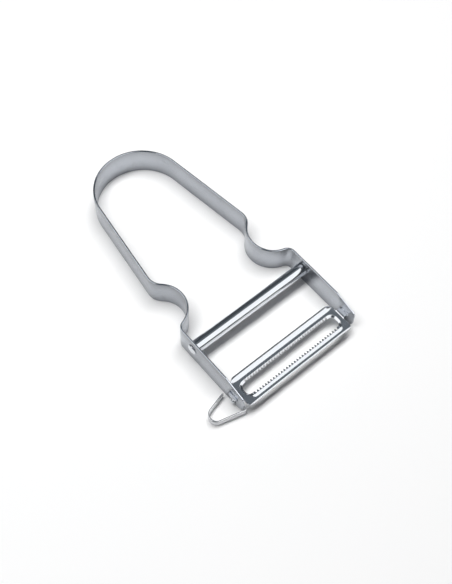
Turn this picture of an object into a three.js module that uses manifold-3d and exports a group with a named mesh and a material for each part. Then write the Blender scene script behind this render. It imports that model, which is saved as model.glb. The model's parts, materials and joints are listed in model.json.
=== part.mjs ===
// Serrated vegetable peeler. One long steel strip is bent into a bow with a finger waist on
// each side. A round bar holds its two legs apart, a slotted and toothed blade rocks between
// the leg tips, and a looped eye remover is riveted to the left leg.
// Millimetres, +Z up. The strip stands on its lower edge, with the arch towards +Y, the blade
// towards -Y and the eye remover on the -X side. The origin is the middle of the box below.
import * as THREE from 'three';
import { mergeVertices } from 'three/addons/utils/BufferGeometryUtils.js';
import Module from 'manifold-3d';

const wasm = await Module();
wasm.setup();

const DEGREE = Math.PI / 180;

// Handle strip: radii are on the middle of its thickness
const STRIP_HEIGHT = 13;
const STRIP_THICKNESS = 0.8;
const ARCH_RADIUS = 19.3;
const ARCH_TO_WAIST = 49.2;
const ARM_SPLAY = 7.5 * DEGREE;
const SHOULDER_RADIUS = 6.6;
const WAIST_RADIUS = 10.6;
const WAIST_SPACING = 36.6;
const CORNER_RADIUS = 3.3;
const LEG_SPACING = 56.8;
const TIP_CHAMFER_LENGTH = 10.5;
const TIP_CHAMFER_DROP = 2.8;
const TIP_TOP_ROUND = 2.2;
const TIP_FOOT_ROUND = 4;

// Places down the leg, each counted from the one before
const CORNER_TO_BAR = 6;
const BAR_TO_PIVOT = 24.4;
const PIVOT_TO_TIP = 5.2;
const PIVOT_HEIGHT = 6.5;

// Cross bar, with a turned-down end through each leg, peened to a low head outside
const BAR_DIAMETER = 5.3;
const BAR_EDGE = 0.3;
const BAR_HEIGHT = 7.5;
const TENON_DIAMETER = 3;
const TENON_HEAD_DIAMETER = 4.4;
const TENON_HEAD_RISE = 0.7;

// Blade sheet: two arched bars with toothed lips facing each other over a long slot
const BLADE_THICKNESS = 0.7;
const BLADE_END_GAP = 1.7;
const BLADE_REST_SHIFT = -0.6;
const BLADE_SINK = 0.3;
const REAR_BAR = { lip: 2.7, flat: 0.8, fillet: 2.4, crown: 1.2, rise: 35 * DEGREE, fall: 14 * DEGREE };
const FRONT_BAR = { lip: 4.5, slope: 0.9, flat: 0.25, fillet: 3.4, crown: 0.5, rise: 30 * DEGREE };
const FRONT_RIM = { radius: 0.5, fall: 50 * DEGREE };
const REAR_CORNER_RADIUS = 3;
const FRONT_CORNER_RADIUS = 1.2;
const BAR_FADE_LENGTH = 3.6;
const BAR_END_ARCH = 0.3;
const LIP_FADE_LENGTH = 2.5;
const LIP_END_ARCH = 0.05;
const LIP_BACK_RADIUS = 0.55;
const SLOT_END_WEB = 2.7;
const SLOT_CORNER_RADIUS = 1.8;
const TOOTH_PITCH = 1.33;
const REAR_TOOTH_DEPTH = 0.9;
const FRONT_TOOTH_DEPTH = 0.75;

// Blade tongues in the legs' bow-tie holes, which stop the swivel at either end
const TONGUE_WIDTH = 4.2;
const TONGUE_PROUD = 0.5;
const JOGGLE_RADIUS = 0.9;
const SWIVEL_LIMIT = 25 * DEGREE;

// Eye remover: a narrow strip from inside the left leg, round its tip and out into a loop
const EYE_STRIP_THICKNESS = 0.6;
const EYE_STRIP_HEIGHT = 3.6;
const EYE_REACH = 12;
const EYE_NOSE_RADIUS = 3;
const EYE_FRONT_SLANT = 15 * DEGREE;
const EYE_REAR_SLANT = 14.8 * DEGREE;
const EYE_TAIL = 1.9;
const EYE_END_GAP = 1.4;

// Rivet that holds the eye remover to the leg
const RIVET_HEIGHT = 2.1;
const RIVET_SHANK_DIAMETER = 1.3;
const RIVET_HEAD_DIAMETER = 2.4;
const RIVET_HEAD_RISE = 0.8;
const RIVET_TAIL_DIAMETER = 2.1;
const RIVET_TAIL_RISE = 0.4;

// Clearances
const SEAT_GAP = 0.2;
const HOLE_GAP = 0.2;
const SWIVEL_GAP = 0.3;
const CUT_OVERRUN = 2;

// Facets
const ARC_STEPS = 7;
const ROUND_STEPS = 40;
const SMALL_ROUND_STEPS = 28;
const FADE_STEPS = 8;
const MERGE_DISTANCE = 1e-4;

const legX = LEG_SPACING / 2;
const legInner = legX - STRIP_THICKNESS / 2;
const legOuter = legX + STRIP_THICKNESS / 2;

// Solids: a closed geometry goes in, is cut or joined, and comes back as a geometry
function solidOf(geometry) {
  const bare = geometry.clone();
  bare.deleteAttribute('normal');
  bare.deleteAttribute('uv');
  const merged = mergeVertices(bare, MERGE_DISTANCE);
  return new wasm.Manifold(new wasm.Mesh({
    numProp: 3,
    vertProperties: new Float32Array(merged.attributes.position.array),
    triVerts: new Uint32Array(merged.index.array),
  }));
}

function geometryOf(solid) {
  const mesh = solid.getMesh();
  const geometry = new THREE.BufferGeometry();
  geometry.setAttribute('position', new THREE.BufferAttribute(mesh.vertProperties, 3));
  geometry.setIndex(new THREE.BufferAttribute(mesh.triVerts, 1));
  geometry.computeVertexNormals();
  return geometry;
}

// A plan outline raised from one height to another
function raised(shape, from, to) {
  const geometry = new THREE.ExtrudeGeometry(shape, {
    depth: to - from, bevelEnabled: false, curveSegments: ARC_STEPS,
  });
  return geometry.translate(0, 0, from);
}

// A side outline in (y, z) carried along X
function alongX(shape, from, to) {
  const turn = new THREE.Matrix4().makeBasis(
    new THREE.Vector3(0, 1, 0), new THREE.Vector3(0, 0, 1), new THREE.Vector3(1, 0, 0));
  return raised(shape, from, to).applyMatrix4(turn);
}

// A turned piece on the X axis: the profile gives (radius, place along X)
function turned(profile, steps) {
  const points = profile.getPoints(ARC_STEPS);
  return new THREE.LatheGeometry(points, steps).rotateZ(-Math.PI / 2);
}

// A plain round along X, for drilling
function drill(diameter, from, to) {
  const radius = diameter / 2;
  const geometry = new THREE.CylinderGeometry(radius, radius, to - from, SMALL_ROUND_STEPS);
  return geometry.rotateZ(-Math.PI / 2).translate((from + to) / 2, 0, 0);
}

// A skin over like (y, z) outlines that stand at growing places along X, closed at both ends
function lofted(outlines, places) {
  const count = outlines[0].length;
  const positions = outlines.flatMap((outline, i) => outline.flatMap((p) => [places[i], p.x, p.y]));
  const triangles = [];
  for (let ring = 0; ring + 1 < outlines.length; ring += 1) {
    for (let i = 0; i < count; i += 1) {
      const a = ring * count + i;
      const b = ring * count + (i + 1) % count;
      triangles.push(a, b, b + count, a, b + count, a + count);
    }
  }
  const last = (outlines.length - 1) * count;
  for (const [a, b, c] of THREE.ShapeUtils.triangulateShape(outlines[0], [])) {
    triangles.push(a, c, b);
  }
  for (const [a, b, c] of THREE.ShapeUtils.triangulateShape(outlines.at(-1), [])) {
    triangles.push(last + a, last + b, last + c);
  }
  const geometry = new THREE.BufferGeometry();
  geometry.setAttribute('position', new THREE.Float32BufferAttribute(positions, 3));
  geometry.setIndex(triangles);
  return geometry;
}

// A quarter round of an outline's corner, counted from the one at +X +Y
function quarter(path, x, y, radius, corner) {
  path.absarc(x, y, radius, corner * Math.PI / 2, (corner + 1) * Math.PI / 2, false);
}

function polar(angle, length) {
  return new THREE.Vector2(length * Math.cos(angle), length * Math.sin(angle));
}

// The outline of a bent strip. Each move is a straight length or a radius and a turn, to the
// left when positive; the outline goes up one face and back down the other.
function bentStrip(x, y, heading, moves, thickness) {
  const stretches = [];
  let at = new THREE.Vector2(x, y);
  let angle = heading;
  for (const { length, radius, turn } of moves) {
    const from = { at, angle };
    if (radius === undefined) {
      at = at.clone().add(polar(angle, length));
      stretches.push({ from, to: { at, angle } });
    } else {
      const side = Math.sign(turn);
      const spoke = angle - side * Math.PI / 2;
      const centre = at.clone().sub(polar(spoke, radius));
      const end = spoke + turn;
      at = centre.clone().add(polar(end, radius));
      angle += turn;
      stretches.push({ from, to: { at, angle }, centre, radius, side, spoke, end });
    }
  }
  const face = (place, offset) => new THREE.Vector2(
    place.at.x - offset * Math.sin(place.angle), place.at.y + offset * Math.cos(place.angle));
  const half = thickness / 2;
  const shape = new THREE.Shape();
  const start = face(stretches[0].from, half);
  shape.moveTo(start.x, start.y);
  for (const s of stretches) {
    const next = face(s.to, half);
    if (s.centre) {
      shape.absarc(s.centre.x, s.centre.y, s.radius - s.side * half, s.spoke, s.end, s.side < 0);
    } else {
      shape.lineTo(next.x, next.y);
    }
  }
  const turnRound = face(stretches.at(-1).to, -half);
  shape.lineTo(turnRound.x, turnRound.y);
  for (const s of stretches.toReversed()) {
    const next = face(s.from, -half);
    if (s.centre) {
      shape.absarc(s.centre.x, s.centre.y, s.radius + s.side * half, s.end, s.spoke, s.side > 0);
    } else {
      shape.lineTo(next.x, next.y);
    }
  }
  shape.closePath();
  return shape;
}

// Plan of one side of the bow, from the arch's top to the end of the corner bend. The waist's
// centre is at y = 0; shoulder and corner are fillets that touch the waist's arc.
const waistX = WAIST_SPACING / 2 + WAIST_RADIUS;
const armHeading = ARM_SPLAY - Math.PI / 2;
const shoulderLine = new THREE.Vector2(-waistX, ARCH_TO_WAIST)
  .add(polar(ARM_SPLAY, ARCH_RADIUS - SHOULDER_RADIUS));
const along = shoulderLine.dot(polar(armHeading, 1));
const shoulderReach = SHOULDER_RADIUS + WAIST_RADIUS;
const armLength = -along - Math.sqrt(along ** 2 - shoulderLine.lengthSq() + shoulderReach ** 2);
const shoulder = shoulderLine.clone().add(polar(armHeading, armLength));
const shoulderTurn = ARM_SPLAY - Math.atan2(-shoulder.y, -shoulder.x);
const cornerX = legX - CORNER_RADIUS;
const cornerReach = CORNER_RADIUS + WAIST_RADIUS;
const cornerY = -Math.sqrt(cornerReach ** 2 - (waistX - cornerX) ** 2);
const cornerTurn = Math.atan2(-cornerY, waistX - cornerX);
const waistTurn = shoulderTurn + cornerTurn - ARM_SPLAY;

const barY = cornerY - CORNER_TO_BAR;
const pivotY = barY - BAR_TO_PIVOT;
const tipY = pivotY - PIVOT_TO_TIP;

function bowPlan() {
  const half = [
    { radius: ARCH_RADIUS, turn: armHeading },
    { length: armLength },
    { radius: SHOULDER_RADIUS, turn: -shoulderTurn },
    { radius: WAIST_RADIUS, turn: waistTurn },
    { radius: CORNER_RADIUS, turn: -cornerTurn },
    { length: cornerY - tipY },
  ];
  return bentStrip(-legX, tipY, Math.PI / 2, [...half.toReversed(), ...half], STRIP_THICKNESS);
}

// Side view of the strip: a plain band, with the top edge of each leg falling to a round tip
function bowSide() {
  const slope = Math.atan2(TIP_CHAMFER_DROP, TIP_CHAMFER_LENGTH);
  const shoulderZ = STRIP_HEIGHT - TIP_CHAMFER_DROP;
  const roundZ = shoulderZ - TIP_TOP_ROUND * Math.tan((Math.PI / 2 - slope) / 2);
  const farY = ARCH_TO_WAIST + ARCH_RADIUS + STRIP_THICKNESS + CUT_OVERRUN;
  const shape = new THREE.Shape();
  shape.moveTo(tipY + TIP_FOOT_ROUND, 0);
  shape.lineTo(farY, 0);
  shape.lineTo(farY, STRIP_HEIGHT);
  shape.lineTo(tipY + TIP_CHAMFER_LENGTH, STRIP_HEIGHT);
  shape.absarc(tipY + TIP_TOP_ROUND, roundZ, TIP_TOP_ROUND, Math.PI / 2 + slope, Math.PI, false);
  quarter(shape, tipY + TIP_FOOT_ROUND, TIP_FOOT_ROUND, TIP_FOOT_ROUND, 2);
  return shape;
}

// Bow-tie hole: room for the tongue to rock to its limit either way about the pivot
function swivelHole() {
  const radius = TONGUE_WIDTH / 2 + SWIVEL_GAP;
  const room = BLADE_THICKNESS / 2 + SWIVEL_GAP;
  const spread = SWIVEL_LIMIT + Math.asin(room / radius);
  const waist = room / Math.cos(SWIVEL_LIMIT);
  const shape = new THREE.Shape();
  shape.absarc(0, 0, radius, -spread, spread, false);
  shape.lineTo(0, waist);
  shape.absarc(0, 0, radius, Math.PI - spread, Math.PI + spread, false);
  shape.lineTo(0, -waist);
  shape.closePath();
  return shape;
}

const cutFrom = -legOuter - CUT_OVERRUN;
const cutTo = legOuter + CUT_OVERRUN;

function handleStrip() {
  const bow = solidOf(raised(bowPlan(), 0, STRIP_HEIGHT));
  const side = solidOf(alongX(bowSide(), cutFrom, cutTo));
  const tenonHole = drill(TENON_DIAMETER + 2 * HOLE_GAP, cutFrom, cutTo)
    .translate(0, barY, BAR_HEIGHT);
  const pivotHole = alongX(swivelHole(), cutFrom, cutTo).translate(0, pivotY, PIVOT_HEIGHT);
  const rivetHole = drill(RIVET_SHANK_DIAMETER + 2 * HOLE_GAP, cutFrom, -legInner + CUT_OVERRUN)
    .translate(0, pivotY, RIVET_HEIGHT);
  return geometryOf(bow.intersect(side)
    .subtract(solidOf(tenonHole))
    .subtract(solidOf(pivotHole))
    .subtract(solidOf(rivetHole)));
}

// Bar: full diameter between the legs, then a tenon through each leg under a peened head
function crossBar() {
  const shoulderX = legInner - SEAT_GAP;
  const headX = legOuter + SEAT_GAP;
  const barRadius = BAR_DIAMETER / 2;
  const tenonRadius = TENON_DIAMETER / 2;
  const headRadius = TENON_HEAD_DIAMETER / 2;
  const profile = new THREE.Path();
  profile.moveTo(0, -headX - TENON_HEAD_RISE);
  profile.quadraticCurveTo(headRadius, -headX - TENON_HEAD_RISE, headRadius, -headX);
  profile.lineTo(tenonRadius, -headX);
  profile.lineTo(tenonRadius, -shoulderX);
  profile.lineTo(barRadius - BAR_EDGE, -shoulderX);
  profile.lineTo(barRadius, -shoulderX + BAR_EDGE);
  profile.lineTo(barRadius, shoulderX - BAR_EDGE);
  profile.lineTo(barRadius - BAR_EDGE, shoulderX);
  profile.lineTo(tenonRadius, shoulderX);
  profile.lineTo(tenonRadius, headX);
  profile.lineTo(headRadius, headX);
  profile.quadraticCurveTo(headRadius, headX + TENON_HEAD_RISE, 0, headX + TENON_HEAD_RISE);
  return turned(profile, ROUND_STEPS);
}

// Blade sizes about its own middle, with the pivot axis at y = 0 and z = 0
const bladeHalf = legInner - BLADE_END_GAP;
const slotHalf = bladeHalf - SLOT_END_WEB;
const tongueHalf = legOuter + TONGUE_PROUD;
const rearRun = (REAR_BAR.crown + REAR_BAR.fillet) * Math.sin(REAR_BAR.rise)
  + REAR_BAR.crown * Math.sin(REAR_BAR.fall);
const frontRun = FRONT_BAR.fillet * Math.sin(FRONT_BAR.rise)
  + FRONT_RIM.radius * Math.sin(FRONT_RIM.fall);
const rearEdge = REAR_BAR.lip + REAR_BAR.flat + rearRun + BLADE_THICKNESS;
const frontEdge = FRONT_BAR.lip + FRONT_BAR.flat + frontRun + BLADE_THICKNESS;

// A bend at a share of its full angle, with the radius that keeps its developed length
function eased(radius, turn, arch) {
  return { radius: radius / arch, turn: turn * arch };
}

// Section of the blade sheet in (y, z), from the front edge to the rear one: a turned-down rim,
// a flat, the front lip that rises to its crest at the slot and drops behind it, the floor, and
// the rear ridge. The ridge and the rim ease with one arch, the lip with the other.
function bladeSection(barArch, lipArch) {
  const rim = eased(FRONT_RIM.radius, -FRONT_RIM.fall, barArch);
  const lipFillet = eased(FRONT_BAR.fillet, FRONT_BAR.rise, lipArch);
  const lipCrown = eased(FRONT_BAR.crown, -FRONT_BAR.rise, lipArch);
  const ridgeFillet = eased(REAR_BAR.fillet, REAR_BAR.rise, barArch);
  const ridgeCrown = eased(REAR_BAR.crown, -REAR_BAR.rise - REAR_BAR.fall, barArch);
  const lipRun = lipFillet.radius * Math.sin(lipFillet.turn);
  const crest = (lipFillet.radius + lipCrown.radius) * (1 - Math.cos(lipFillet.turn))
    + FRONT_BAR.slope * Math.sin(lipFillet.turn);
  const backTurn = Math.acos(1 - crest / (2 * LIP_BACK_RADIUS));
  const lipBack = FRONT_BAR.slope * Math.cos(lipFillet.turn)
    + lipCrown.radius * Math.sin(lipFillet.turn) + 2 * LIP_BACK_RADIUS * Math.sin(backTurn);
  const rimRun = rim.radius * Math.sin(-rim.turn);
  const rimDrop = rim.radius * (1 - Math.cos(rim.turn));
  const startY = -FRONT_BAR.lip - lipRun - FRONT_BAR.flat - rimRun;
  return bentStrip(startY, -BLADE_SINK - rimDrop, -rim.turn, [
    rim,
    { length: FRONT_BAR.flat },
    lipFillet,
    { length: FRONT_BAR.slope },
    lipCrown,
    { radius: LIP_BACK_RADIUS, turn: -backTurn },
    { radius: LIP_BACK_RADIUS, turn: backTurn },
    { length: FRONT_BAR.lip - lipBack + REAR_BAR.lip + REAR_BAR.flat },
    ridgeFillet,
    ridgeCrown,
  ], BLADE_THICKNESS);
}

// The blade sheet from end to end: the lip fades out before the slot's ends, the ridge and the
// rim fade towards the blade's ends, each along a smooth step
function bladeSheet() {
  const lipFadeX = slotHalf - LIP_FADE_LENGTH;
  const barFadeX = bladeHalf - BAR_FADE_LENGTH;
  const arch = (run, length, end) => {
    const share = THREE.MathUtils.clamp(run / length, 0, 1);
    return 1 - (1 - end) * (1 - Math.cos(Math.PI * share)) / 2;
  };
  const outlineAt = (x) => {
    const barArch = arch(x - barFadeX, BAR_FADE_LENGTH, BAR_END_ARCH);
    const lipArch = arch(x - lipFadeX, LIP_FADE_LENGTH, LIP_END_ARCH);
    const points = bladeSection(barArch, lipArch).getPoints(ARC_STEPS);
    const outline = points.filter((p, i) => p.distanceTo(points.at(i - 1)) > MERGE_DISTANCE);
    return THREE.ShapeUtils.isClockWise(outline) ? outline.reverse() : outline;
  };
  const fadeX = Math.min(lipFadeX, barFadeX);
  const half = [];
  for (let step = 0; step <= FADE_STEPS; step += 1) {
    half.push(fadeX + (bladeHalf - fadeX) * step / FADE_STEPS);
  }
  const outlines = half.map(outlineAt);
  const places = [...half.map((x) => -x).reverse(), ...half];
  return lofted([...outlines.toReversed(), ...outlines], places);
}

// Slot outline: a row of pointed teeth along each long side, and rounded ends
function bladeSlot() {
  const rearTip = REAR_BAR.lip - REAR_TOOTH_DEPTH;
  const frontTip = FRONT_BAR.lip - FRONT_TOOTH_DEPTH;
  const round = SLOT_CORNER_RADIUS;
  const roundX = slotHalf - round;
  const teeth = Math.floor(2 * roundX / TOOTH_PITCH);
  const firstX = -teeth * TOOTH_PITCH / 2;
  const slot = new THREE.Path();
  quarter(slot, -roundX, -frontTip + round, round, 2);
  for (let tooth = 0; tooth < teeth; tooth += 1) {
    slot.lineTo(firstX + tooth * TOOTH_PITCH, -frontTip);
    slot.lineTo(firstX + (tooth + 0.5) * TOOTH_PITCH, -FRONT_BAR.lip);
  }
  slot.lineTo(firstX + teeth * TOOTH_PITCH, -frontTip);
  quarter(slot, roundX, -frontTip + round, round, 3);
  quarter(slot, roundX, rearTip - round, round, 0);
  for (let tooth = teeth; tooth > 0; tooth -= 1) {
    slot.lineTo(firstX + tooth * TOOTH_PITCH, rearTip);
    slot.lineTo(firstX + (tooth - 0.5) * TOOTH_PITCH, REAR_BAR.lip);
  }
  slot.lineTo(firstX, rearTip);
  quarter(slot, -roundX, rearTip - round, round, 1);
  slot.closePath();
  return slot;
}

// Plan of the blade body: a long plate with rounded corners and the toothed slot
function bladePlan() {
  const rear = REAR_CORNER_RADIUS;
  const front = FRONT_CORNER_RADIUS;
  const plan = new THREE.Shape();
  quarter(plan, bladeHalf - rear, rearEdge - rear, rear, 0);
  quarter(plan, -bladeHalf + rear, rearEdge - rear, rear, 1);
  quarter(plan, -bladeHalf + front, -frontEdge + front, front, 2);
  quarter(plan, bladeHalf - front, -frontEdge + front, front, 3);
  plan.closePath();
  plan.holes.push(bladeSlot());
  return plan;
}

// Tongue: starts in the blade's end web, one sheet thickness from the slot, steps up to the
// pivot axis and runs out past the leg
function bladeTongue() {
  const bend = Math.acos(1 - BLADE_SINK / (2 * JOGGLE_RADIUS));
  const stepRun = 2 * JOGGLE_RADIUS * Math.sin(bend);
  const stepStart = bladeHalf - stepRun / 2;
  const rootX = slotHalf + BLADE_THICKNESS;
  const profile = bentStrip(rootX, -BLADE_SINK, 0, [
    { length: stepStart - rootX },
    { radius: JOGGLE_RADIUS, turn: bend },
    { radius: JOGGLE_RADIUS, turn: -bend },
    { length: tongueHalf - stepStart - stepRun },
  ], BLADE_THICKNESS);
  const half = TONGUE_WIDTH / 2;
  return raised(profile, -half, half).rotateX(Math.PI / 2);
}

function swivelBlade() {
  const deep = BLADE_SINK + FRONT_BAR.slope + REAR_BAR.crown + CUT_OVERRUN;
  const body = solidOf(bladeSheet()).intersect(solidOf(raised(bladePlan(), -deep, deep)));
  const right = solidOf(bladeTongue());
  const left = solidOf(bladeTongue().rotateZ(Math.PI));
  return geometryOf(body.add(right).add(left));
}

// Eye remover plan: tail inside the leg, bend round the tip, front arm, nose and rear arm,
// which stops short of the leg's outer face
function eyeRemover() {
  const bend = STRIP_THICKNESS / 2 + SEAT_GAP + EYE_STRIP_THICKNESS / 2;
  const bendTurn = Math.PI / 2 + EYE_FRONT_SLANT;
  const noseTurn = Math.PI - EYE_FRONT_SLANT - EYE_REAR_SLANT;
  const frontFromX = -legX - bend * Math.sin(EYE_FRONT_SLANT);
  const noseCentreX = -legOuter - EYE_REACH + EYE_NOSE_RADIUS + EYE_STRIP_THICKNESS / 2;
  const frontToX = noseCentreX - EYE_NOSE_RADIUS * Math.sin(EYE_FRONT_SLANT);
  const rearFromX = noseCentreX - EYE_NOSE_RADIUS * Math.sin(EYE_REAR_SLANT);
  const rearToX = -legOuter - EYE_END_GAP - EYE_STRIP_THICKNESS / 2 * Math.sin(EYE_REAR_SLANT);
  const tailFromY = pivotY + EYE_TAIL;
  const plan = bentStrip(-legX + bend, tailFromY, -Math.PI / 2, [
    { length: tailFromY - tipY },
    { radius: bend, turn: -bendTurn },
    { length: (frontFromX - frontToX) / Math.cos(EYE_FRONT_SLANT) },
    { radius: EYE_NOSE_RADIUS, turn: -noseTurn },
    { length: (rearToX - rearFromX) / Math.cos(EYE_REAR_SLANT) },
  ], EYE_STRIP_THICKNESS);
  const strip = solidOf(raised(plan, 0, EYE_STRIP_HEIGHT));
  const hole = drill(RIVET_SHANK_DIAMETER + 2 * HOLE_GAP, -legX, -legInner + CUT_OVERRUN);
  return geometryOf(strip.subtract(solidOf(hole.translate(0, pivotY, RIVET_HEIGHT))));
}

// Rivet: domed head outside the leg, shank through leg and eye remover, small tail inside
function eyeRivet() {
  const headX = -legOuter - SEAT_GAP;
  const tailX = -legInner + EYE_STRIP_THICKNESS + 2 * SEAT_GAP;
  const shankRadius = RIVET_SHANK_DIAMETER / 2;
  const headRadius = RIVET_HEAD_DIAMETER / 2;
  const tailRadius = RIVET_TAIL_DIAMETER / 2;
  const profile = new THREE.Path();
  profile.moveTo(0, headX - RIVET_HEAD_RISE);
  profile.quadraticCurveTo(headRadius, headX - RIVET_HEAD_RISE, headRadius, headX);
  profile.lineTo(shankRadius, headX);
  profile.lineTo(shankRadius, tailX);
  profile.lineTo(tailRadius, tailX);
  profile.quadraticCurveTo(tailRadius, tailX + RIVET_TAIL_RISE, 0, tailX + RIVET_TAIL_RISE);
  return turned(profile, SMALL_ROUND_STEPS);
}

// Steel finishes: satin on the strips, polished on the bar and the blade
const satinSteel = { color: 0xb4b9c0, metalness: 1, roughness: 0.34 };
const polishedSteel = { color: 0xd2d6db, metalness: 1, roughness: 0.16 };

const peeler = new THREE.Group();

function place(name, geometry, finish, x, y, z) {
  const mesh = new THREE.Mesh(geometry, new THREE.MeshStandardMaterial(finish));
  mesh.name = name;
  mesh.position.set(x, y, z);
  peeler.add(mesh);
}

place('handle_strip', handleStrip(), satinSteel, 0, 0, 0);
place('cross_bar', crossBar(), polishedSteel, 0, barY, BAR_HEIGHT);
place('swivel_blade', swivelBlade(), polishedSteel, BLADE_REST_SHIFT, pivotY, PIVOT_HEIGHT);
place('eye_remover', eyeRemover(), satinSteel, 0, 0, 0);
place('eye_remover_rivet', eyeRivet(), polishedSteel, 0, pivotY, RIVET_HEIGHT);

// The origin goes to the middle of the box, at the height of the strip's lower edge
const box = new THREE.Box3().setFromObject(peeler, true);
peeler.position.set(-(box.min.x + box.max.x) / 2, -(box.min.y + box.max.y) / 2, -box.min.z);

export default peeler;
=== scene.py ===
"""A serrated vegetable peeler in stainless steel, on a white studio floor.

The pieces follow in the order in which the peeler is put together: the bent strip, the cross bar
between its legs, the toothed blade in its pivot holes, the eye remover and its rivet. The studio
and the camera come last. Everything is in metres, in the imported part's own frame.
"""
import json
import math

import bmesh
import bpy
import numpy as np
from mathutils import Matrix, Vector


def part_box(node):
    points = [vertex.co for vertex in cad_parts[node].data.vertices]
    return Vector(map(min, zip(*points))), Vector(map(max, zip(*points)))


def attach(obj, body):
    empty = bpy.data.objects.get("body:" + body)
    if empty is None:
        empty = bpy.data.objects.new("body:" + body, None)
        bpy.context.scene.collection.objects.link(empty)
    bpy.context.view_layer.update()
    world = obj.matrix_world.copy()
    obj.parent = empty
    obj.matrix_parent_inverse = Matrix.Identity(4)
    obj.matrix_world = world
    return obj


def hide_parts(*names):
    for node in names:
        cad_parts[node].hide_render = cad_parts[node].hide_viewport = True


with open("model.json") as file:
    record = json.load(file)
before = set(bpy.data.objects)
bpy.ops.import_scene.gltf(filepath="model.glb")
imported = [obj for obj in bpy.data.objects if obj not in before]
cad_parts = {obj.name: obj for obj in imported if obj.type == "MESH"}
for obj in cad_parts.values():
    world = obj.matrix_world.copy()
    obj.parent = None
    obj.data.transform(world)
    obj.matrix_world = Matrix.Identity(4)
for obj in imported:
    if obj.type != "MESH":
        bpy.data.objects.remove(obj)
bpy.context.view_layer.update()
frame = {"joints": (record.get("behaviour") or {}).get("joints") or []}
MM = 0.001


# Handle strip
# One long stainless strip on edge, bent round formers into the arch, the arms, the finger waists
# and the legs. Its rolled edges are rounded, its tips are cropped, and its legs are punched.
STRIP_THICKNESS = 0.8 * MM
STRIP_EDGE_ROUND = 0.3 * MM
ARCH_RADIUS = 19.3 * MM
ARCH_TO_WAIST = 49.2 * MM
ARM_SPLAY = math.radians(7.5)
SHOULDER_RADIUS = 6.6 * MM
WAIST_RADIUS = 10.6 * MM
WAIST_SPACING = 36.6 * MM
CORNER_RADIUS = 3.3 * MM
TIP_CHAMFER_LENGTH = 10.5 * MM
TIP_CHAMFER_DROP = 2.8 * MM
TIP_TOP_ROUND = 2.2 * MM
TIP_FOOT_ROUND = 4.0 * MM
STATION_SPACING = 0.5 * MM
TIP_SPACING = 0.1 * MM
RIM_SPACING = 0.02 * MM
ROUND_STEPS = 6
SUPPORT_SHARE = 0.2
END_CORNER_SHRINK = 0.95
SHARP_ANGLE = math.radians(35)
STRIP_STEEL = (0.46, 0.48, 0.515, 1.0)
BRUSHED = 0.7
# Edges that face up or down: a smoother polish, and a lighter tone that is a painted highlight
EDGE_POLISH_AND_HIGHLIGHT = 0.9
# Painted shade: how much darker the strip's tone gets towards its long sides, top and bottom
PAINTED_SIDE_SHADE = 0.4

strip_low, strip_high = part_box("handle_strip")
strip_middle_x = (strip_low.x + strip_high.x) / 2
strip_height = strip_high.z
leg_x = (strip_high.x - strip_low.x - STRIP_THICKNESS) / 2
waist_y = strip_high.y - STRIP_THICKNESS / 2 - ARCH_RADIUS - ARCH_TO_WAIST


def bent_path(start, heading, moves):
    """Points and headings along straight lengths (length, 0, spacing) and bends (radius, turn, spacing).

    A left turn is positive. In a bend the place is start + radius * (sin a - sin a0, cos a0 - cos a),
    where the heading a goes evenly from a0 through the turn.
    """
    points = [np.array([start], float)]
    headings = [np.array([heading], float)]
    for size, turn, spacing in moves:
        length = abs(size * turn) if turn else size
        share = np.linspace(0, 1, max(2, math.ceil(length / spacing)) + 1)[1:]
        angle = heading + turn * share
        if turn:
            radius = math.copysign(size, turn)
            step_x = radius * (np.sin(angle) - math.sin(heading))
            step_y = radius * (math.cos(heading) - np.cos(angle))
        else:
            step_x = size * share * math.cos(heading)
            step_y = size * share * math.sin(heading)
        points.append(points[-1][-1] + np.stack([step_x, step_y], 1))
        headings.append(angle)
        heading += turn
    return np.concatenate(points), np.concatenate(headings)


def path_lengths(points):
    """Length along a path up to each of its points."""
    steps = np.linalg.norm(np.diff(points, axis=0), axis=1)
    return np.concatenate([[0], np.cumsum(steps)])


def put_mesh(name, verts, faces, uv=None, sharp=SHARP_ANGLE):
    """Makes an object from vertices and faces, turned outwards and smooth below the sharp angle."""
    mesh = bpy.data.meshes.new(name)
    mesh.from_pydata(np.asarray(verts).tolist(), [], faces)
    if uv is not None:
        layer = mesh.uv_layers.new(name="along")
        corner = np.empty(len(mesh.loops), np.int32)
        mesh.loops.foreach_get("vertex_index", corner)
        layer.data.foreach_set("uv", np.asarray(uv, np.float32)[corner].ravel())
    shell = bmesh.new()
    shell.from_mesh(mesh)
    bmesh.ops.recalc_face_normals(shell, faces=shell.faces)
    shell.to_mesh(mesh)
    shell.free()
    mesh.shade_smooth()
    mesh.set_sharp_from_angle(angle=sharp)
    piece = bpy.data.objects.new(name, mesh)
    bpy.context.scene.collection.objects.link(piece)
    return piece


def grid_faces(rows, columns, wrap_rows=False):
    """Four-cornered faces of a rows by columns grid whose columns close on themselves."""
    index = np.arange(rows * columns).reshape(rows, columns)
    if wrap_rows:
        index = np.concatenate([index, index[:1]])
    right = np.roll(index, -1, axis=1)
    quads = np.stack([index[:-1], right[:-1], right[1:], index[1:]], axis=2)
    return quads.reshape(-1, 4).tolist()


def strip_profile(edge):
    """Outline of a strip's section as signs and insets: side, top or bottom, and the two insets.

    Each corner is a quarter round of radius edge with a support point on either side of it.
    """
    turn = np.linspace(0, math.pi / 2, ROUND_STEPS)
    support = SUPPORT_SHARE * edge
    across_inset = np.concatenate([[0], edge * (1 - np.cos(turn)), [edge + support]])
    up_inset = np.concatenate([[edge + support], edge * (1 - np.sin(turn)), [0]])
    count = len(turn) + 2
    side = np.repeat([1, -1, -1, 1], count)
    top = np.repeat([True, True, False, False], count)
    across_inset = np.concatenate([across_inset, across_inset[::-1], across_inset, across_inset[::-1]])
    up_inset = np.concatenate([up_inset, up_inset[::-1], up_inset, up_inset[::-1]])
    return side, top, across_inset, up_inset


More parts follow.
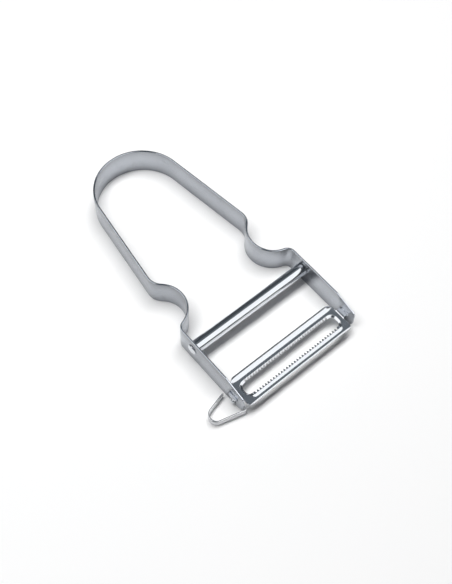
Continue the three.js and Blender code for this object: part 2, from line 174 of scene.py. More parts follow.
def rim(run, radius):
    """How far a rounded end draws in at a distance run from it.

    The inset is radius - sqrt(radius^2 - (radius - run)^2), and nothing past the radius.
    """
    depth = np.clip(radius - run, 0, radius)
    return radius - np.sqrt(radius ** 2 - depth ** 2)


def strip_mesh(name, points, headings, bottom, top_edge, thickness, edge):
    """A strip's section carried along a path, with closed rounded ends.

    The vertex is path + across * left normal, at a height counted from the bottom or the top edge.
    The ends draw in on all sides, and the section's corner rounds shrink with them.
    """
    along = path_lengths(points)
    run = np.minimum(along, along[-1] - along)
    draw_in = rim(run, edge)[:, None]
    side, top, across_inset, up_inset = strip_profile(edge)
    corner = 1 - END_CORNER_SHRINK * draw_in / edge
    across = side * (thickness / 2 - draw_in - across_inset * corner)
    left = np.stack([-np.sin(headings), np.cos(headings)], 1)
    plan = points[:, None, :] + across[:, :, None] * left[:, None, :]
    low = bottom[:, None] + draw_in + up_inset * corner
    high = top_edge[:, None] - draw_in - up_inset * corner
    height = np.where(top, high, low)
    verts = np.concatenate([plan, height[:, :, None]], 2).reshape(-1, 3)
    rows, columns = height.shape
    faces = grid_faces(rows, columns)
    faces.append(list(range(columns)))
    faces.append(list(range((rows - 1) * columns, rows * columns)))
    uv = np.stack([along[:, None] + across, height + across], 2)
    return put_mesh(name, verts, faces, uv.reshape(-1, 2))


def unit(ways):
    """Rows of vectors, each scaled to a length of 1."""
    return ways / np.linalg.norm(ways, axis=1, keepdims=True)


def hole_cutter(outline, centre, inner_x, outer_x):
    """A punch along X: the (y, z) outline round a centre, flared where it leaves both faces of a strip.

    Each ring is the outline moved along its own outward normals by the flare or by nothing.
    """
    after = unit(np.roll(outline, -1, axis=0) - outline)
    before = unit(outline - np.roll(outline, 1, axis=0))
    tangent = unit(after + before)
    outward = np.stack([tangent[:, 1], -tangent[:, 0]], 1)
    low_x, high_x = sorted((inner_x, outer_x))
    past, flare = STRIP_THICKNESS, PUNCH_FLARE
    places = np.array([low_x - past, low_x, low_x + flare, high_x - flare, high_x, high_x + past])
    grow = flare * np.array([2, 1, 0, 0, 1, 2])
    section = outline[None] + grow[:, None, None] * outward[None]
    rings = np.empty((len(places), len(outline), 3))
    rings[:, :, 0] = places[:, None]
    rings[:, :, 1] = centre.y + section[:, :, 0]
    rings[:, :, 2] = centre.z + section[:, :, 1]
    rows, columns = rings.shape[:2]
    faces = grid_faces(rows, columns)
    faces.append(list(range(columns)))
    faces.append(list(range((rows - 1) * columns, rows * columns)))
    return put_mesh("punch", rings.reshape(-1, 3), faces)


def punch(piece, cutters):
    """Cuts the cutters out of a piece for good, and removes them."""
    for cutter in cutters:
        cut = piece.modifiers.new("punch", "BOOLEAN")
        cut.operation = "DIFFERENCE"
        cut.solver = "EXACT"
        cut.object = cutter
    state = bpy.context.evaluated_depsgraph_get()
    mesh = bpy.data.meshes.new_from_object(piece.evaluated_get(state))
    piece.modifiers.clear()
    plain = piece.data
    piece.data = mesh
    mesh.name = piece.name
    bpy.data.meshes.remove(plain)
    for cutter in cutters:
        bpy.data.objects.remove(cutter)
    mesh.set_sharp_from_angle(angle=SHARP_ANGLE)


def ring(radius, count=40):
    """Points round a circle, anticlockwise."""
    angle = np.linspace(0, 2 * math.pi, count, endpoint=False)
    return radius * np.stack([np.cos(angle), np.sin(angle)], 1)


# Plan of the bow: the shoulder and the corner are fillets that touch the waist's arc
waist_x = WAIST_SPACING / 2 + WAIST_RADIUS
arm_heading = ARM_SPLAY - math.pi / 2
arm_way = np.array([math.cos(arm_heading), math.sin(arm_heading)])
arm_normal = np.array([math.cos(ARM_SPLAY), math.sin(ARM_SPLAY)])
shoulder_line = np.array([-waist_x, ARCH_TO_WAIST]) + (ARCH_RADIUS - SHOULDER_RADIUS) * arm_normal
along_arm = shoulder_line @ arm_way
reach = SHOULDER_RADIUS + WAIST_RADIUS
arm_length = -along_arm - math.sqrt(along_arm ** 2 - shoulder_line @ shoulder_line + reach ** 2)
shoulder_spot = shoulder_line + arm_length * arm_way
shoulder_turn = ARM_SPLAY - math.atan2(-shoulder_spot[1], -shoulder_spot[0])
corner_x = leg_x - CORNER_RADIUS
corner_drop = math.sqrt((CORNER_RADIUS + WAIST_RADIUS) ** 2 - (waist_x - corner_x) ** 2)
corner_turn = math.atan2(corner_drop, waist_x - corner_x)
waist_turn = shoulder_turn + corner_turn - ARM_SPLAY
leg_length = waist_y - corner_drop - strip_low.y
chamfer_break = 4 * TIP_SPACING

half_bow = [
    (ARCH_RADIUS, arm_heading, STATION_SPACING),
    (arm_length, 0, STATION_SPACING),
    (SHOULDER_RADIUS, -shoulder_turn, STATION_SPACING / 2),
    (WAIST_RADIUS, waist_turn, STATION_SPACING / 2),
    (CORNER_RADIUS, -corner_turn, STATION_SPACING / 4),
    (leg_length - TIP_CHAMFER_LENGTH - chamfer_break, 0, STATION_SPACING),
    (2 * chamfer_break, 0, TIP_SPACING),
    (TIP_CHAMFER_LENGTH - chamfer_break - TIP_TOP_ROUND, 0, 2 * TIP_SPACING),
    (TIP_TOP_ROUND - 2 * STRIP_EDGE_ROUND, 0, TIP_SPACING),
    (2 * STRIP_EDGE_ROUND, 0, RIM_SPACING),
]
left_leg_x = strip_middle_x - leg_x
whole_bow = half_bow[::-1] + half_bow
bow_points, bow_headings = bent_path((left_leg_x, strip_low.y), math.pi / 2, whole_bow)
bow_along = path_lengths(bow_points)
tip_run = np.minimum(bow_along, bow_along[-1] - bow_along)
tip_slope = math.atan2(TIP_CHAMFER_DROP, TIP_CHAMFER_LENGTH)
tip_shoulder = strip_height - TIP_CHAMFER_DROP
tip_round_z = tip_shoulder - TIP_TOP_ROUND * math.tan((math.pi / 2 - tip_slope) / 2)
tip_chamfer = np.minimum(strip_height, tip_shoulder + tip_run * math.tan(tip_slope))
tip_corner = tip_round_z + TIP_TOP_ROUND - rim(tip_run, TIP_TOP_ROUND)
bow_top = np.where(tip_run < TIP_TOP_ROUND * (1 - math.sin(tip_slope)), tip_corner, tip_chamfer)
bow_bottom = rim(tip_run, TIP_FOOT_ROUND)
handle = strip_mesh(
    "peeler_handle_strip", bow_points, bow_headings, bow_bottom, bow_top, STRIP_THICKNESS, STRIP_EDGE_ROUND)

# Punched holes: a round one for the bar, a bow-tie one for the blade, and one for the rivet
TENON_HOLE_RADIUS = 1.7 * MM
TONGUE_WIDTH = 4.2 * MM
BLADE_THICKNESS = 0.7 * MM
SWIVEL_GAP = 0.3 * MM
SWIVEL_LIMIT = math.radians(25)
RIVET_HOLE_RADIUS = 0.85 * MM
PUNCH_FLARE = 0.07 * MM
BOW_TIE_POINTS = 15

pivot = Vector(frame["joints"][0]["pos_m"])
bar_low, bar_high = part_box("cross_bar")
bar_centre = (bar_low + bar_high) / 2
rivet_low, rivet_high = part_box("eye_remover_rivet")
rivet_centre = (rivet_low + rivet_high) / 2
left_inner_x = strip_low.x + STRIP_THICKNESS
right_inner_x = strip_high.x - STRIP_THICKNESS


def bow_tie():
    """Two opposite sectors of a circle, joined at the waist that the tongue's thickness needs."""
    radius = TONGUE_WIDTH / 2 + SWIVEL_GAP
    room = BLADE_THICKNESS / 2 + SWIVEL_GAP
    spread = SWIVEL_LIMIT + math.asin(room / radius)
    waist = room / math.cos(SWIVEL_LIMIT)
    angle = np.linspace(-spread, spread, BOW_TIE_POINTS)
    right = radius * np.stack([np.cos(angle), np.sin(angle)], 1)
    return np.concatenate([right, [[0, waist]], -right, [[0, -waist]]])


legs = ((left_inner_x, strip_low.x), (right_inner_x, strip_high.x))
cutters = []
for inner_x, outer_x in legs:
    cutters.append(hole_cutter(bow_tie(), pivot, inner_x, outer_x))
    cutters.append(hole_cutter(ring(TENON_HOLE_RADIUS), bar_centre, inner_x, outer_x))
cutters.append(hole_cutter(ring(RIVET_HOLE_RADIUS), rivet_centre, left_inner_x, strip_low.x))
punch(handle, cutters)

# Finish of the steel: what the lines and the smudges do to its tone and roughness, and what the polished
# edges do to its roughness.
# Painted light on the strips: a painted highlight on the edges that face up or down, and painted shade
# towards the long sides.
LINE_DETAIL = 5
LINE_BREAK_UP = 0.65
LINE_ROUGHENS = 0.12
SMUDGE_SCALE = 130
SMUDGE_DETAIL = 3
SMUDGE_ROUGHENS = 0.16
TONE_LOSS = 0.8
EDGE_FACING = (0.25, 0.8)
EDGE_SMOOTHS = 0.2
BUMP_STRENGTH = 0.35
QUARTER_TURN = 0.25


def add_node(tree, kind, **settings):
    """Adds a shader node and sets its plain properties."""
    node = tree.nodes.new(kind)
    for key, value in settings.items():
        setattr(node, key, value)
    return node


def scaled(tree, value, factor, offset):
    """value * factor + offset, as one Math node."""
    node = add_node(tree, "ShaderNodeMath", operation="MULTIPLY_ADD")
    tree.links.new(value, node.inputs[0])
    node.inputs[1].default_value = factor
    node.inputs[2].default_value = offset
    return node.outputs[0]


def combined(tree, operation, first, second, **settings):
    """Two values through one Math node."""
    node = add_node(tree, "ShaderNodeMath", operation=operation, **settings)
    tree.links.new(first, node.inputs[0])
    tree.links.new(second, node.inputs[1])
    return node.outputs[0]


def steel_finish_and_painted_light_group():
    """Rolled and handled steel: fine drawn lines, faint smudges, smoother edges, and painted light: a
    painted edge highlight and painted shade towards the long sides.

    The tone falls by the side-shade amount * (2 * height share - 1)^2 towards the strip's long sides, a
    painted shade.
    The edge mask is a smooth step of how far the surface faces up or down; there the roughness falls and
    the tone rises, a painted highlight.
    """
    tree = bpy.data.node_groups.new("steel_finish_and_painted_light", "ShaderNodeTree")
    sockets = (
        ("INPUT", "Vector", ("Vector", "Line Scale")),
        ("INPUT", "Color", ("Steel",)),
        ("INPUT", "Float", ("Roughness", "Line Depth", "Smudge")),
        ("INPUT", "Float", ("Edge Polish And Highlight", "Painted Side Shade", "Strip Width")),
        ("OUTPUT", "Color", ("Color",)),
        ("OUTPUT", "Float", ("Roughness", "Height")),
    )
    for side, kind, names in sockets:
        for name in names:
            tree.interface.new_socket(name, in_out=side, socket_type="NodeSocket" + kind)
    given = add_node(tree, "NodeGroupInput").outputs
    put = add_node(tree, "NodeGroupOutput").inputs
    stretch = add_node(tree, "ShaderNodeVectorMath", operation="MULTIPLY")
    tree.links.new(given["Vector"], stretch.inputs[0])
    tree.links.new(given["Line Scale"], stretch.inputs[1])
    lines = add_node(tree, "ShaderNodeTexNoise")
    lines.inputs["Scale"].default_value = 1
    lines.inputs["Detail"].default_value = LINE_DETAIL
    lines.inputs["Roughness"].default_value = LINE_BREAK_UP
    tree.links.new(stretch.outputs[0], lines.inputs["Vector"])
    smudges = add_node(tree, "ShaderNodeTexNoise")
    smudges.inputs["Scale"].default_value = SMUDGE_SCALE
    smudges.inputs["Detail"].default_value = SMUDGE_DETAIL
    tree.links.new(given["Vector"], smudges.inputs["Vector"])
    line = scaled(tree, lines.outputs["Fac"], 2, -1)
    smudge = scaled(tree, smudges.outputs["Fac"], 2, -1)
    line_share = combined(tree, "MULTIPLY", line, given["Line Depth"])
    smudge_share = combined(tree, "MULTIPLY", smudge, given["Smudge"])
    line_rough = scaled(tree, line_share, LINE_ROUGHENS, 0)
    smudge_rough = scaled(tree, smudge_share, SMUDGE_ROUGHENS, 0)
    worn = combined(tree, "ADD", line_rough, smudge_rough)
    facing = add_node(tree, "ShaderNodeSeparateXYZ")
    tree.links.new(add_node(tree, "ShaderNodeTexCoord").outputs["Normal"], facing.inputs[0])
    level = add_node(tree, "ShaderNodeMath", operation="ABSOLUTE")
    tree.links.new(facing.outputs["Z"], level.inputs[0])
    edge = add_node(tree, "ShaderNodeMapRange", interpolation_type="SMOOTHSTEP")
    edge.inputs["From Min"].default_value = EDGE_FACING[0]
    edge.inputs["From Max"].default_value = EDGE_FACING[1]
    tree.links.new(level.outputs[0], edge.inputs["Value"])
    # Painted highlight: the edge mask lifts the tone where the surface faces up or down, and lowers the
    # roughness there
    edge_polish_and_highlight = combined(tree, "MULTIPLY", edge.outputs["Result"], given["Edge Polish And Highlight"])
    worn_and_polished = combined(tree, "ADD", worn, scaled(tree, edge_polish_and_highlight, -EDGE_SMOOTHS, 0))
    rough = combined(tree, "ADD", given["Roughness"], worn_and_polished, use_clamp=True)
    place = add_node(tree, "ShaderNodeSeparateXYZ")
    tree.links.new(given["Vector"], place.inputs[0])
    # Painted shade: the tone darkens towards the strip's long sides
    height_share = combined(tree, "DIVIDE", place.outputs["Y"], given["Strip Width"])
    off_middle = scaled(tree, height_share, 2, -1)
    squared = combined(tree, "MULTIPLY", off_middle, off_middle)
    painted_side_shade = combined(tree, "MULTIPLY", squared, given["Painted Side Shade"])
    painted_light_and_shade = combined(tree, "SUBTRACT", edge_polish_and_highlight, painted_side_shade)
    tone = combined(tree, "ADD", scaled(tree, worn, -TONE_LOSS, 1), painted_light_and_shade)
    tint = add_node(tree, "ShaderNodeVectorMath", operation="SCALE")
    tree.links.new(given["Steel"], tint.inputs[0])
    tree.links.new(tone, tint.inputs["Scale"])
    tree.links.new(tint.outputs[0], put["Color"])
    tree.links.new(rough, put["Roughness"])
    tree.links.new(line_share, put["Height"])
    return tree


steel_finish_and_painted_light = steel_finish_and_painted_light_group()


def steel(name, colour, roughness, line_scale, line_depth, smudge, bump_distance, strip_width=0):
    """A steel material: the shared finish on a strip's own UV map, or on Object coordinates without one."""
    material = bpy.data.materials.new(name)
    material.use_nodes = True
    tree = material.node_tree
    shader = tree.nodes["Principled BSDF"]
    if strip_width:
        place = add_node(tree, "ShaderNodeUVMap", uv_map="along").outputs["UV"]
    else:
        place = add_node(tree, "ShaderNodeTexCoord").outputs["Object"]
    finish = add_node(tree, "ShaderNodeGroup", node_tree=steel_finish_and_painted_light)
    tree.links.new(place, finish.inputs["Vector"])
    finish.inputs["Steel"].default_value = colour
    finish.inputs["Roughness"].default_value = roughness
    finish.inputs["Line Scale"].default_value = line_scale
    finish.inputs["Line Depth"].default_value = line_depth
    finish.inputs["Smudge"].default_value = smudge
    # Only the strips get the painted edge highlight and the painted shade towards their long sides
    finish.inputs["Edge Polish And Highlight"].default_value = EDGE_POLISH_AND_HIGHLIGHT if strip_width else 0
    finish.inputs["Painted Side Shade"].default_value = PAINTED_SIDE_SHADE if strip_width else 0
    finish.inputs["Strip Width"].default_value = strip_width or 1
    bump = add_node(tree, "ShaderNodeBump")
    bump.inputs["Strength"].default_value = BUMP_STRENGTH
    bump.inputs["Distance"].default_value = bump_distance
    tree.links.new(finish.outputs["Height"], bump.inputs["Height"])
    tree.links.new(finish.outputs["Color"], shader.inputs["Base Color"])
    tree.links.new(finish.outputs["Roughness"], shader.inputs["Roughness"])
    tree.links.new(bump.outputs["Normal"], shader.inputs["Normal"])
    shader.inputs["Metallic"].default_value = 1
    if strip_width:
        lie = add_node(tree, "ShaderNodeTangent", direction_type="UV_MAP", uv_map="along")
        tree.links.new(lie.outputs["Tangent"], shader.inputs["Tangent"])
        shader.inputs["Anisotropic"].default_value = BRUSHED
        shader.inputs["Anisotropic Rotation"].default_value = QUARTER_TURN
    return material


def fit(piece, node, body, material):
    """Dresses a CAD node with a finished piece that moves with its body."""
    piece.data.materials.clear()
    piece.data.materials.append(material)
    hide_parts(node)
    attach(piece, body)


# The strip's tone carries a painted highlight on its edges and painted shade towards its long sides
satin_strip = steel(
    "satin_strip", STRIP_STEEL, roughness=0.26, line_scale=(90, 5200, 1), line_depth=0.5, smudge=0.35,
    bump_distance=0.006 * MM, strip_width=strip_height)
fit(handle, "handle_strip", "handle", satin_strip)


# Cross bar
# A polished round bar that keeps the legs apart. A turned-down tenon at each end goes through the
# leg and is hammered over outside to a low, uneven head.
BAR_RADIUS = 2.65 * MM
BAR_EDGE_ROUND = 0.25 * MM
TENON_RADIUS = 1.5 * MM
HEAD_RADIUS = 2.2 * MM
HEAD_RISE = 0.7 * MM
SEAT_GAP = 0.2 * MM
HAMMER_DEPTH = 0.07 * MM
HAMMER_WAVES = ((2100, 700, 0.6), (-900, 1700, 2.1), (2600, -1500, 0))
HAMMER_RANGE = (-0.5, 2)
BAR_STEEL = (0.72, 0.74, 0.77, 1.0)


def turned_piece(name, places, radii, centre, turns, shape=None):
    """A profile of places along X and radii, turned about the X axis through the centre.

    The first and last profile points are on the axis and close to single poles. The shape changes
    the rings' (x, y, z) before they are placed.
    """
    angle = np.linspace(0, 2 * math.pi, turns, endpoint=False)
    inner = radii[1:-1, None]
    rings = np.empty((len(places) - 2, turns, 3))
    rings[:, :, 0] = places[1:-1, None]
    rings[:, :, 1] = inner * np.cos(angle)
    rings[:, :, 2] = inner * np.sin(angle)
    if shape:
        rings = shape(rings)
    rows = len(rings)
    poles = np.array([[places[0], 0, 0], [places[-1], 0, 0]])
    verts = np.concatenate([rings.reshape(-1, 3), poles]) + np.array(centre)
    faces = grid_faces(rows, turns)
    here = np.arange(turns)
    after = np.roll(here, -1)
    last_row = (rows - 1) * turns
    first = np.stack([here, after, np.full(turns, rows * turns)], 1)
    last = np.stack([here + last_row, after + last_row, np.full(turns, rows * turns + 1)], 1)
    return put_mesh(name, verts, faces + first.tolist() + last.tolist())


def dome(radius, rise, steps=14):
    """Radii and heights of a low head from its pole to its foot: radius * sin a and rise * cos a."""
    angle = np.linspace(0, math.pi / 2, steps)
    return radius * np.sin(angle), rise * np.cos(angle)


def hammered(rings):
    """Presses small dents into the heads outside the legs: a sum of cos(across * y + up * z + phase)."""
    x, y, z = rings[..., 0], rings[..., 1], rings[..., 2]
    outside = np.clip((np.abs(x) - leg_x) / HEAD_RISE, 0, 1)
    wave = sum(np.cos(across * y + up * z + phase) for across, up, phase in HAMMER_WAVES)
    dented = rings.copy()
    dented[..., 0] = x - np.sign(x) * outside * HAMMER_DEPTH * np.clip(wave, *HAMMER_RANGE) / 2
    return dented


head_radii, head_heights = dome(HEAD_RADIUS, HEAD_RISE)
head_foot = leg_x + STRIP_THICKNESS / 2 + SEAT_GAP
shoulder_x = leg_x - STRIP_THICKNESS / 2 - SEAT_GAP
edge_turn = np.linspace(0, math.pi / 2, ROUND_STEPS)
edge_radii = BAR_RADIUS - BAR_EDGE_ROUND * (1 - np.sin(edge_turn))
edge_places = shoulder_x - BAR_EDGE_ROUND * (1 - np.cos(edge_turn))
half_radii = np.concatenate([head_radii, [TENON_RADIUS, TENON_RADIUS], edge_radii])
half_places = np.concatenate([head_foot + head_heights, [head_foot, shoulder_x], edge_places])
bar_radii = np.concatenate([half_radii, half_radii[::-1]])
bar_places = np.concatenate([-half_places, half_places[::-1]])
bar = turned_piece("peeler_cross_bar", bar_places, bar_radii, bar_centre, turns=96, shape=hammered)
polished_bar = steel(
    "polished_bar", BAR_STEEL, roughness=0.13, line_scale=(60, 2600, 2600), line_depth=0.35, smudge=0.3,
    bump_distance=0.003 * MM)
fit(bar, "cross_bar", "handle", polished_bar)


# Swivel blade
# One sheet of hardened steel, pressed to a rear ridge and a raised front lip with a turned-down rim.
# Its slot is cut into two rows of fine, ground teeth, and a stepped tongue at each end rocks in the leg.
BLADE_END_GAP = 1.7 * MM
BLADE_SINK = 0.3 * MM
REAR_LIP = 2.7 * MM
REAR_FLAT = 0.8 * MM
REAR_FILLET = 2.4 * MM
REAR_CROWN = 1.2 * MM
REAR_RISE = math.radians(35)
REAR_FALL = math.radians(18)
FRONT_LIP = 4.5 * MM
FRONT_SLOPE = 0.9 * MM
FRONT_FLAT = 0.5 * MM
FRONT_FILLET = 2.9 * MM
FRONT_CROWN = 0.5 * MM
FRONT_RISE = math.radians(30)
RIM_RADIUS = 0.5 * MM
RIM_FALL = math.radians(50)
LIP_FADE_LENGTH = 2.5 * MM
LIP_END_ARCH = 0.05
LIP_BACK = 1.0 * MM
REAR_CORNER = 3.0 * MM
FRONT_CORNER = 1.2 * MM
FADE_LENGTH = 3.6 * MM
END_ARCH = 0.3
SLOT_END_WEB = 2.7 * MM
SLOT_CORNER = 1.8 * MM
TOOTH_PITCH = 1.33 * MM
REAR_TOOTH = 1.1 * MM
FRONT_TOOTH = 1.05 * MM
REAR_GULLET = 0.3
FRONT_GULLET = 0.05
TOOTH_COLUMNS = 10
BLADE_ROWS = 40
BLADE_RIM = 0.12 * MM
REAR_GRIND = 0.9 * MM
FRONT_GRIND = 1.1 * MM
GRIND_EDGE = 0.1 * MM
RELIEF = 0.5 * MM
NECK_FILLET = 0.5 * MM
TONGUE_TIP = 0.5 * MM
JOGGLE_RADIUS = 0.9 * MM
SLOPE_NUDGE = 0.01 * MM
BLADE_SHARP_ANGLE = math.radians(50)
BLADE_STEEL = (0.72, 0.74, 0.77, 1.0)

blade_low, blade_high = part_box("swivel_blade")
blade_half = leg_x - STRIP_THICKNESS / 2 - BLADE_END_GAP
slot_half = blade_half - SLOT_END_WEB
slot_round_x = slot_half - SLOT_CORNER
tongue_half = (blade_high.x - blade_low.x) / 2
rear_tip = REAR_LIP - REAR_TOOTH
front_tip = FRONT_LIP - FRONT_TOOTH
rear_reach = REAR_LIP + REAR_FLAT + REAR_FILLET * REAR_RISE + REAR_CROWN * (REAR_RISE + REAR_FALL)
front_reach = FRONT_LIP + FRONT_FILLET * FRONT_RISE + FRONT_FLAT + RIM_RADIUS * RIM_FALL


def smooth_step(run):
    """3 t^2 - 2 t^3 between 0 and 1."""
    share = np.clip(run, 0, 1)
    return (3 - 2 * share) * share ** 2


def fading(run, length, end):
    """An arch that falls along a cosine step from 1 to its end value over a length."""
    share = np.clip(run / length, 0, 1)
    return 1 - (1 - end) * (1 - np.cos(math.pi * share)) / 2


def rear_ridge(s, arch):
    """Place (y, z) at the developed width s of the rear bar: a flat, a fillet and a fallen crown.

    The heading rises evenly to arch * rise and falls to -arch * fall, so both arcs keep their
    length while their radii grow as the arch flattens.
    """
    flat = REAR_LIP + REAR_FLAT
    fillet = REAR_FILLET / arch
    crown = REAR_CROWN / arch
    top = arch * REAR_RISE
    up = np.clip(s - flat, 0, REAR_FILLET * REAR_RISE) / fillet
    over = top - np.maximum(s - flat - REAR_FILLET * REAR_RISE, 0) / crown
    y = np.minimum(s, flat) + fillet * np.sin(up) + crown * (np.sin(top) - np.sin(over))
    z = fillet * (1 - np.cos(up)) + crown * (np.cos(over) - np.cos(top))
    return y, z


def front_lip(q, lip_arch, bar_arch):
    """Place (y, z) at the developed width q of the front bar, both counted outwards from the slot.

    A crest at the slot falls over a crown, a straight slope and a fillet to the flat, and the rim
    turns down past it. Behind the crest the sheet drops back to the blank's level along a smooth step.
    """
    fillet = FRONT_FILLET / lip_arch
    crown = FRONT_CROWN / lip_arch
    rim_radius = RIM_RADIUS / bar_arch
    steep = lip_arch * FRONT_RISE
    crest_q = FRONT_LIP - FRONT_SLOPE - FRONT_CROWN * FRONT_RISE
    crest_z = (fillet + crown) * (1 - np.cos(steep)) + FRONT_SLOPE * np.sin(steep)
    on_slope = np.clip(FRONT_LIP - q, 0, FRONT_SLOPE)
    on_crown = steep - np.clip(FRONT_LIP - FRONT_SLOPE - q, 0, FRONT_CROWN * FRONT_RISE) / crown
    on_fillet = steep - np.clip(q - FRONT_LIP, 0, FRONT_FILLET * FRONT_RISE) / fillet
    past = q - FRONT_LIP - FRONT_FILLET * FRONT_RISE
    rim_turn = np.maximum(past - FRONT_FLAT, 0) / rim_radius
    y = FRONT_LIP - on_slope * np.cos(steep) + np.minimum(q - crest_q, 0) + np.clip(past, 0, FRONT_FLAT)
    y = y + fillet * (np.sin(steep) - np.sin(on_fillet)) - crown * (np.sin(steep) - np.sin(on_crown))
    y = y + rim_radius * np.sin(rim_turn)
    z = fillet * (1 - np.cos(on_fillet)) + on_slope * np.sin(steep)
    z = z + crown * (np.cos(on_crown) - np.cos(steep))
    behind = crest_z * (1 - smooth_step((q - crest_q + LIP_BACK) / LIP_BACK))
    return y, z - behind - rim_radius * (1 - np.cos(rim_turn))


def formed(x, s):
    """Place of a point of the flat blank (x, s) on the pressed blade's middle surface.

    The lip fades before the slot's ends, the ridge and the rim towards the blade's ends, and the
    tongue steps up to the pivot axis.
    """
    far = np.abs(x)
    bar_arch = fading(far - blade_half + FADE_LENGTH, FADE_LENGTH, END_ARCH)
    lip_arch = fading(far - slot_half + LIP_FADE_LENGTH, LIP_FADE_LENGTH, LIP_END_ARCH)
    rear_y, rear_z = rear_ridge(s, bar_arch)
    front_y, front_z = front_lip(-s, lip_arch, bar_arch)
    bend = math.acos(1 - BLADE_SINK / (2 * JOGGLE_RADIUS))
    step_run = 2 * JOGGLE_RADIUS * math.sin(bend)
    climb = smooth_step((far - blade_half + step_run / 2) / step_run)
    middle = 1 - smooth_step((np.abs(s) - TONGUE_WIDTH / 2) / TONGUE_WIDTH)
    y = np.where(s > 0, rear_y, -front_y)
    z = np.where(s > 0, rear_z, front_z) - BLADE_SINK * (1 - climb * middle)
    return np.stack([x, y, z], -1)


def slot_edge(x, lip, depth, gullet):
    """A row of pointed teeth: lip - depth at every whole pitch, with a flat gullet at the lip between.

    The gullet is the flat's share of the pitch.
    """
    last = math.floor(slot_round_x / TOOTH_PITCH) * TOOTH_PITCH
    wave = np.maximum(2 * np.abs((x / TOOTH_PITCH) % 1 - 0.5) - gullet, 0) / (1 - gullet)
    return lip - depth * np.where(np.abs(x) > last, 1, wave)


def blank_sides():
    """Columns of the flat blank round its slot: inner points, outer points and which end in teeth.

    At the ends the columns fan out: each stretch of the outer outline, with the tongue, faces the
    stretch of the slot's end between two of the slot stops, which are shares of its length.
    """
    step = TOOTH_PITCH / TOOTH_COLUMNS
    count = math.ceil(slot_round_x / step) - 1
    columns = step * np.arange(-count, count + 1)
    rear_inner = np.stack([columns, slot_edge(columns, REAR_LIP, REAR_TOOTH, REAR_GULLET)], 1)
    rear_outer = np.stack([columns, np.full(len(columns), rear_reach)], 1)
    front_inner = np.stack([columns, -slot_edge(columns, FRONT_LIP, FRONT_TOOTH, FRONT_GULLET)], 1)[::-1]
    front_outer = np.stack([columns, np.full(len(columns), -front_reach)], 1)[::-1]
    quarter = math.pi / 2
    inner, _ = bent_path((slot_round_x, rear_tip), 0, [
        (SLOT_CORNER, -quarter, TIP_SPACING),
        (rear_tip + front_tip - 2 * SLOT_CORNER, 0, TIP_SPACING),
        (SLOT_CORNER, -quarter, TIP_SPACING),
    ])
    half_tongue = TONGUE_WIDTH / 2
    tongue_side = tongue_half - blade_half - NECK_FILLET - TONGUE_TIP
    outer_moves = [
        (blade_half - REAR_CORNER - slot_round_x, 0, TIP_SPACING),
        (REAR_CORNER, -quarter, TIP_SPACING),
        (rear_reach - REAR_CORNER - half_tongue - NECK_FILLET, 0, TIP_SPACING),
        (NECK_FILLET, quarter, TIP_SPACING),
        (tongue_side, 0, TIP_SPACING),
        (TONGUE_TIP, -quarter, TIP_SPACING),
        (TONGUE_WIDTH - 2 * TONGUE_TIP, 0, TIP_SPACING),
        (TONGUE_TIP, -quarter, TIP_SPACING),
        (tongue_side, 0, TIP_SPACING),
        (NECK_FILLET, quarter, TIP_SPACING),
        (front_reach - FRONT_CORNER - half_tongue - NECK_FILLET, 0, TIP_SPACING),
        (FRONT_CORNER, -quarter, TIP_SPACING),
        (blade_half - FRONT_CORNER - slot_round_x, 0, TIP_SPACING),
    ]
    outer, _ = bent_path((slot_round_x, rear_reach), 0, outer_moves)
    move_lengths = [abs(size * turn) if turn else size for size, turn, _ in outer_moves]
    stops = np.concatenate([[0], np.cumsum(move_lengths)])
    inner_along = path_lengths(inner)
    slot_stops = np.array([0, 0.07, 0.2, 0.26, 0.29, 0.34, 0.37, 0.5, 0.53, 0.58, 0.61, 0.72, 0.93, 1])
    wanted = np.interp(path_lengths(outer), stops, slot_stops * inner_along[-1])
    fan = np.stack([np.interp(wanted, inner_along, inner[:, axis]) for axis in (0, 1)], 1)
    mirror = np.array([-1, 1])
    all_inner = np.concatenate([rear_inner, fan, front_inner, fan[::-1] * mirror])
    all_outer = np.concatenate([rear_outer, outer, front_outer, outer[::-1] * mirror])
    row, end = np.ones(len(columns), bool), np.zeros(len(fan), bool)
    return all_inner, all_outer, np.concatenate([row, end, row, end])


def pressed(blank, height):
    """Points of the flat blank (x, s) on the pressed blade, set off by a height along its normal."""
    x, s = blank[..., 0], blank[..., 1]
    along_x = formed(x + SLOPE_NUDGE, s) - formed(x - SLOPE_NUDGE, s)
    along_s = formed(x, s + SLOPE_NUDGE) - formed(x, s - SLOPE_NUDGE)
    normal = np.cross(along_x, along_s)
    normal /= np.linalg.norm(normal, axis=2, keepdims=True)
    return formed(x, s) + normal * height[..., None]


